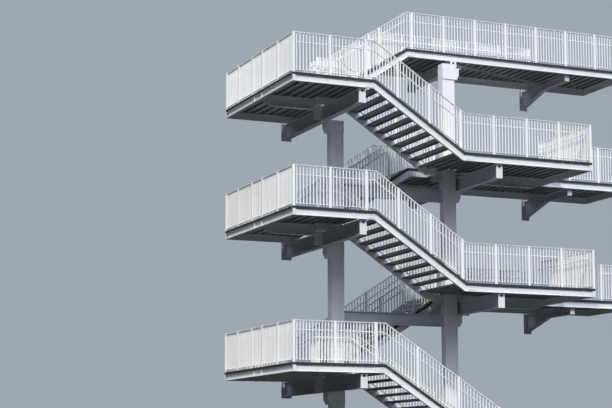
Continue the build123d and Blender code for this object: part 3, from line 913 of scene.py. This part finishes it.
# Sections, then heights over the floor, then places across and along the runs.
half_post, foot_reach, foot_plate, kerb = 0.031, 0.045, 0.008, 0.05
rail_wide, rail_thick, bar_wide, bar_long = 0.046, 0.010, 0.024, 1.0
post_top, bar_middle, rail_heights = 1.1, 0.58, (0.075, 1.074, 1.093)
hand_height, rod_height, rod_top = 0.85, 0.782, 0.84
hand_radius, hand_bend, rod_radius, rod_bend = 0.019, 0.055, 0.007, 0.02
line_inset, post_inset, post_back = 0.041, 0.0335, 0.007
hand_inset, rod_root = 0.085, 0.028
front_line, back_line = front + line_inset, back - line_inset
well_lines = [well_front - line_inset, well_back + line_inset]
past_post, past_line, rail_end, hand_trim = 0.0328, 0.0253, 0.0325, 0.08
post_pitch, bar_pitch, end_bar_inset, end_bar_room, rail_gap = 1.05, 0.091, 0.02, 0.05, 0.002
before_left_bend, before_right_bend, foot_post = 0.286, 0.136, 0.21
end_posts = [front + y for y in (1.1, 2.2, 2.96, 4.04)]
trim_both, loop_past, end_gap, start_gap = (hand_trim, hand_trim), 0.02, 0.0007, 0.001


def height_at(line, u):
    """Height of a floor line at one place along it."""
    for (u0, z0), (u1, z1) in zip(line, line[1:]):
        if u <= u1:
            break
    return z0 + (z1 - z0) * (u - u0) / (u1 - u0)


def trace(line, start, end):
    """A floor line from one place to another, with its corners."""
    corners = sorted(u for u, z in line if min(start, end) < u < max(start, end))
    if end < start:
        corners.reverse()
    return [(u, height_at(line, u)) for u in (start, *corners, end)]


def level_lines(landing):
    """The floor line of a landing, and the line that its posts stand on."""
    heights = (level[landing], level[landing] - kerb)
    return [[(-run_on, height), (run_on, height)] for height in heights]


def flight_lines(flight):
    """The floor line of a flight, and the line that its posts stand on."""
    return flight_line(flight), flight_line(flight, kerb)


def spread(first, last):
    """Post places, spaced evenly and as near to the pitch as they go."""
    count = max(1, round(abs(last - first) / post_pitch))
    return [first + (last - first) * n / count for n in range(count + 1)]


class Railing:
    """Everything of one node's railings, gathered before it is made."""

    def __init__(self):
        self.posts, self.caps, self.rails, self.bays = [], [], [], []
        self.handrails, self.rods = [], []

    def run(self, axis, place, inward, lines, posts, start=None, end=None, trims=(0.0, 0.0)):
        """One straight run along an axis, at a place across it, with the deck on its inward
        side. It ends at its outer posts where no start or end is given. Returns the line of
        its handrail, which the trims cut short."""
        floor, seat = lines
        start = posts[0] - rail_end if start is None else start
        end = posts[-1] + rail_end if end is None else end

        def at(u, side, z):
            across = place + inward * side
            return (u, across, z) if axis == "x" else (across, u, z)

        for p in posts:
            self.posts.append((at, p, seat, floor))
            self.caps.append((at(p, -post_back, height_at(floor, p) + post_top), upright, full))
        stands = list(posts)
        for end_bar, wanted in (
            (start + end_bar_inset, posts[0] - half_post > start + end_bar_room),
            (end - end_bar_inset, posts[-1] + half_post < end - end_bar_room),
        ):
            if wanted:
                stands.append(end_bar)
                self.bays.append(([at(end_bar, 0, height_at(floor, end_bar) + bar_middle)] * 2, 1))
        stands.sort()
        for a, b in zip(stands, stands[1:]):
            count = round((b - a) / bar_pitch) - 1
            if count > 0:
                pitch = (b - a) / (count + 1)
                line = trace(floor, a + pitch, b - pitch)
                self.bays.append(([at(u, 0, z + bar_middle) for u, z in line], count))
        rail = trace(floor, start + rail_gap, end - rail_gap)
        self.rails.append([at(u, 0, z) for u, z in rail])
        hand_start, hand_end = start + trims[0], end - trims[1]
        for p in posts:
            if hand_start < p < hand_end:
                z = height_at(floor, p)
                self.rods.append([
                    at(p, rod_root, z + rod_height), at(p, hand_inset, z + rod_height),
                    at(p, hand_inset, z + rod_top),
                ])
        return [at(u, hand_inset, z + hand_height) for u, z in trace(floor, hand_start, hand_end)]


def post_mesh(railing):
    """Square posts whose feet follow the slope of the flange they stand on."""
    def build(shape):
        for at, p, seat, floor in railing.posts:
            top = height_at(floor, p) + post_top
            for reach, rise in ((half_post, None), (foot_reach, foot_plate)):
                feet = [height_at(seat, p + s * reach) for s, t in square]
                tops = [top if rise is None else z + rise for z in feet]
                ring, lid = (
                    [
                        shape.verts.new(at(p + s * reach, t * half_post - post_back, z))
                        for (s, t), z in zip(square, heights)
                    ]
                    for heights in (feet, tops)
                )
                shape.faces.new(ring)
                shape.faces.new(lid)
                for k in range(4):
                    n = (k + 1) % 4
                    shape.faces.new((ring[k], ring[n], lid[n], lid[k]))
    return build


def cap(shape):
    """Post cap: a thin plate with a low pyramid."""
    block(shape, (-0.035, -0.035, -0.002), (0.035, 0.035, 0.004))
    base = [shape.verts.new((s * 0.03, t * 0.03, 0.004)) for s, t in square]
    tip = shape.verts.new((0, 0, 0.012))
    shape.faces.new(base)
    for k in range(4):
        shape.faces.new((base[k], base[(k + 1) % 4], tip))


def curve_of(nodes, mesh):
    return nodes.node("GeometryNodeMeshToCurve", None, {"Mesh": mesh})["Curve"]


# Balusters: each bay's line is divided evenly and a bar stands at every division.
nodes, given = tree_of("balusters", {"Bar": "Vector", "Finish": "Material"})
line, count_of = curve_of(nodes, given["Mesh"]), attribute_of(nodes, "count", "INT")
divided = nodes.node(
    "GeometryNodeResampleCurve", None, {"Curve": line, "Count": count_of}
)["Curve"]
bar = nodes.node("GeometryNodeMeshCube", None, {"Size": given["Bar"]})["Mesh"]
bars = nodes.node(
    "GeometryNodeInstanceOnPoints", None, {"Points": divided, "Instance": bar}
)["Instances"]
baluster_tree = close_tree(nodes, bars, given["Finish"])

# Rails, handrails and rods: a section swept along a line, with its corners rounded.
nodes, given = tree_of("swept", {"Section": "Object", "Bend": "Float", "Finish": "Material"})
line = nodes.node(
    "GeometryNodeFilletCurve", {"mode": "POLY"},
    {
        "Curve": curve_of(nodes, given["Mesh"]), "Radius": given["Bend"],
        "Limit Radius": True, "Count": 5,
    },
)["Curve"]
line = nodes.node("GeometryNodeSetCurveNormal", {"mode": "Z_UP"}, {"Curve": line})["Curve"]
section = nodes.node("GeometryNodeObjectInfo", None, {"Object": given["Section"]})["Geometry"]
drawn = nodes.node(
    "GeometryNodeCurveToMesh", None,
    {"Curve": line, "Profile Curve": curve_of(nodes, section), "Fill Caps": True},
)["Mesh"]
swept_tree = close_tree(nodes, drawn, given["Finish"])


def lines_mesh(lines):
    """A mesh of open lines of points."""
    mesh = bpy.data.meshes.new("lines")
    points = [p for line in lines for p in line]
    edges, start = [], 0
    for line in lines:
        edges += [(start + k, start + k + 1) for k in range(len(line) - 1)]
        start += len(line)
    mesh.from_pydata(points, edges, [])
    return mesh


def swept(name, lines, outline, bend, material, node, smooth):
    """One section swept along all these lines, as one riding object."""
    mesh = bpy.data.meshes.new("section")
    mesh.from_pydata(
        [(u, v, 0) for u, v in outline],
        [(k, (k + 1) % len(outline)) for k in range(len(outline))], [],
    )
    pattern = add("section", mesh)
    made = bake(
        name, lines_mesh(lines), swept_tree,
        {"Section": pattern, "Bend": bend, "Finish": material}, smooth,
    )
    bpy.data.objects.remove(pattern)
    fix_on(made, [node])


def corner(first, second):
    """Join two handrail lines, the end of one to the start of the other, square on."""
    (x0, y0, z0), (x1, y1, z1) = first[-1], second[0]
    along = abs(first[-1][0] - first[-2][0]) > 1e-6
    meet = (x1, y0, z0) if along else (x0, y1, z0)
    return first[:-1] + [meet] + second[1:]


# A flight has a run on its outer side and one along the well.
railings, well_ends = {}, {}
for flight in range(1, 8):
    if flight % 2:
        inward, outer_y, well_y, right_landing = -1, back_line, well_lines[1], flight
    else:
        inward, outer_y, well_y, right_landing = 1, front_line, well_lines[0], flight - 1
    lines = flight_lines(flight)
    first_bend, last_bend = left_bend[flight - 1], right_bend[flight - 1]
    if flight == 1:
        foot = first_bend + foot_post
        outer_posts = spread(foot, last_bend - before_right_bend)
        outer_start, well_start = None, foot
    else:
        before = first_bend - before_left_bend
        outer_posts = spread(before, last_bend - before_right_bend)[1:]
        outer_start, well_start = before + past_post, well_left - post_inset
    if flight == 7:
        well_end = last_bend + splice_leg + end_gap
        well_posts = spread(well_start, well_end + past_post)[:-1]
    else:
        well_end, past_splice = None, last_bend + splice_leg - post_inset
        well_posts = spread(well_start, max(centre_strips[right_landing] + post_inset, past_splice))
    railing = railings[f"flight_railing_{flight}"] = Railing()
    outer_hand = railing.run("x", outer_y, inward, lines, outer_posts, outer_start)
    well_hand = railing.run("x", well_y, -inward, lines, well_posts, end=well_end)
    railing.handrails += [outer_hand, well_hand]
    well_ends[flight] = (well_hand[0], well_hand[-1])

# A landing has runs along its front, its end, its back, the well and its walkway, and the
# handrail goes round the well from one flight to the next.
for landing in range(1, 8):
    railing = railings[f"landing_railing_{landing}"] = Railing()
    lines = level_lines(landing)
    outer, centre, inner = frame_ends(landing)
    left = landing % 2 == 0
    if left:
        end_post, end_line, side = left_end + post_inset, left_end + line_inset, -1
        hands = []
        for y, inward, bend in ((front_line, 1, outer), (back_line, -1, inner)):
            posts = spread(end_post, bend - before_left_bend)
            hands.append(railing.run("x", y, inward, lines, posts, trims=(hand_trim, 0.0)))
        across = railing.run(
            "y", end_line, 1, lines, end_posts, front_line + past_line, back_line - past_line,
            trim_both,
        )
        railing.handrails.append(corner(corner(hands[0][::-1], across), hands[1]))
        centre_line = centre - line_inset
    elif landing < 7:
        end_post, end_line, side = right_end - post_inset, right_end - line_inset, 1
        start = outer - before_right_bend
        chain = railing.run(
            "x", front_line, 1, flight_lines(landing + 1), spread(start, end_post)[1:],
            start + past_post, trims=(0.0, hand_trim),
        )
        far = well_lines[1] if landing > 1 else back_line
        across = railing.run(
            "y", end_line, -1, lines, spread(front_line, far)[1:-1], front_line + past_line,
            far - past_line, trim_both,
        )
        chain = corner(chain, across)
        centre_line = centre + line_inset
    if landing < 7:
        gap = [well_lines[0] + past_line, well_lines[1] - past_line]
        across = railing.run("y", centre_line, side, lines, [sum(gap) / 2], *gap, trim_both)
        hand_x, loop = across[0][0], []
        for end, flight in enumerate((landing, landing + 1) if left else (landing + 1, landing)):
            meet = well_ends[flight][0 if left else 1]
            arm = [meet, (hand_x, meet[1], meet[2])]
            if side * (meet[0] - hand_x) > -loop_past:
                arm = [(hand_x, gap[end] + (-loop_past, loop_past)[end], meet[2])]
            loop += arm[::-1] if end else arm
        railing.handrails.append(loop)
    if not left:
        start = inner - before_right_bend
        last = bracket_x if landing > 1 else right_end - post_inset
        behind = railing.run(
            "x", back_line, -1, flight_lines(landing), spread(start, last)[1:],
            start + past_post, trims=(0.0, hand_trim if landing == 1 else 0.0),
        )
        if landing == 1:
            railing.handrails.append(corner(chain, behind[::-1]))
        else:
            railing.handrails.append(behind)
            first = right_end - post_inset
            if landing == 7:
                first = inner + splice_leg + start_gap + rail_end
            beside = railing.run(
                "x", well_lines[1], 1, lines, spread(first, walkway_end - post_inset),
                trims=(0.0 if landing == 7 else hand_trim, 0.0),
            )
            railing.handrails.append(beside if landing == 7 else corner(chain, beside))

flat_rail = [(s * rail_wide / 2, t * rail_thick / 2) for s, t in square]
hand_ring, rod_ring = round_outline(hand_radius, 12), round_outline(rod_radius, 6)
for stem, railing in railings.items():
    whole(stem + "_posts", post_mesh(railing), railing_paint, [stem])
    placed(stem + "_caps", cap, railing.caps, railing_paint, [stem])
    bays = lines_mesh([line for line, count in railing.bays])
    counts = bays.attributes.new("count", "INT", "POINT")
    counts.data.foreach_set("value", [count for line, count in railing.bays for point in line])
    bars = bake(
        stem + "_balusters", bays, baluster_tree,
        {"Bar": (bar_wide, bar_wide, bar_long), "Finish": railing_paint},
    )
    fix_on(bars, [stem])
    flats = [
        [(x, y, z + lift) for x, y, z in rail] for rail in railing.rails for lift in rail_heights
    ]
    for label, lines, outline, bend, material, smooth in (
        ("rails", flats, flat_rail, 0.0, railing_paint, None),
        ("handrails", railing.handrails, hand_ring, hand_bend, handrail_paint, 40),
        ("rods", railing.rods, rod_ring, rod_bend, railing_paint, 60),
    ):
        swept(f"{stem}_{label}", lines, outline, bend, material, stem, smooth)
